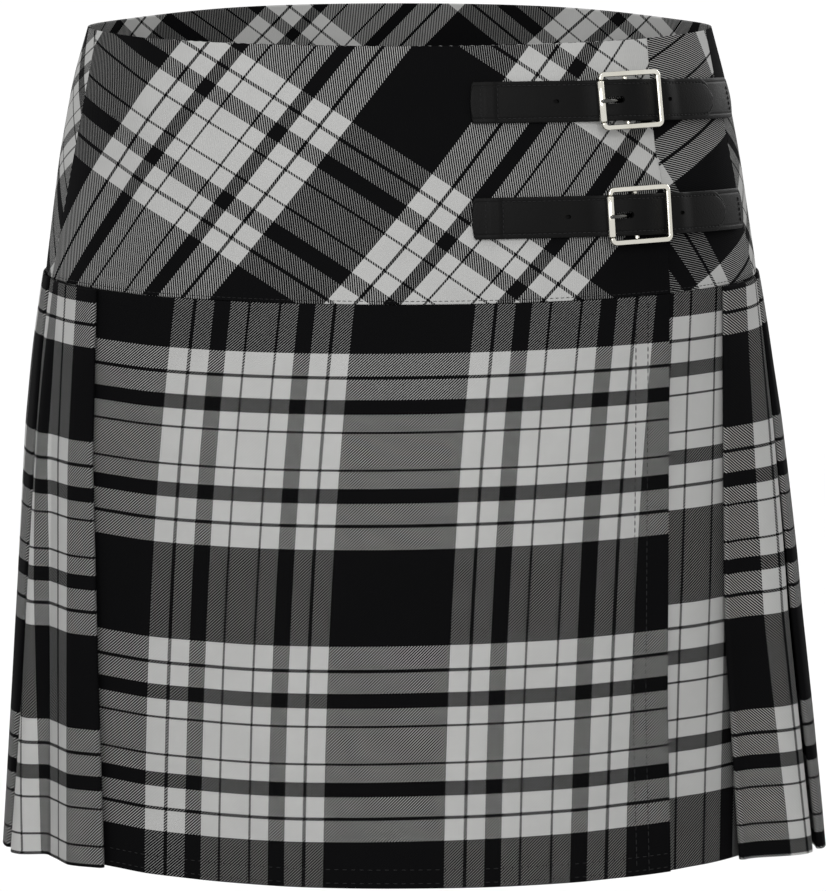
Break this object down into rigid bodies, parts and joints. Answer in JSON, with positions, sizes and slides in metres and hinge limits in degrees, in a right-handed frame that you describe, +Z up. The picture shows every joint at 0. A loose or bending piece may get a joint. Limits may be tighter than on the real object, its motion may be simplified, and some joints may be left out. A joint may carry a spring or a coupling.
{
  "type": "kilt skirt",
  "caption": "Short wrap skirt in checked twill with a bias-cut hip yoke, flat front aprons, knife pleats round the sides and back, and buckled leather straps.",
  "frame": {"origin": "middle of the waist opening, level with its top edge, where the wearer's waist holds the skirt", "axes": "+Z up through the waist opening, front of the skirt towards -Y, +X to the right of somebody who looks at the front"},
  "size_m": [0.4239, 0.3107, 0.418],
  "materials": {
    "yoke_cloth_over": "matte checked twill, cut on the bias",
    "yoke_cloth_under": "matte checked twill, cut on the bias",
    "yoke_cloth_back": "matte checked twill, cut on the bias",
    "apron_cloth_over": "matte checked twill",
    "apron_cloth_under": "matte checked twill",
    "pleat_cloth_right": "matte checked twill, pressed in pleats",
    "pleat_cloth_left": "matte checked twill, pressed in pleats",
    "strap_leather": "black smooth leather with a soft sheen",
    "buckle_metal": "polished pale metal"
  },
  "bodies": {
    "root": {"yoke_over": "yoke_cloth_over", "yoke_under": "yoke_cloth_under", "yoke_back": "yoke_cloth_back", "apron_over": "apron_cloth_over", "apron_under": "apron_cloth_under", "pleats_right": "pleat_cloth_right", "pleats_left": "pleat_cloth_left", "strap_upper": "strap_leather", "strap_lower": "strap_leather", "tab_upper": "strap_leather", "tab_lower": "strap_leather", "buckle_upper": "buckle_metal", "buckle_lower": "buckle_metal", "roller_upper": "buckle_metal", "roller_lower": "buckle_metal", "prong_upper": "buckle_metal", "prong_lower": "buckle_metal"}
  },
  "joints": []
}
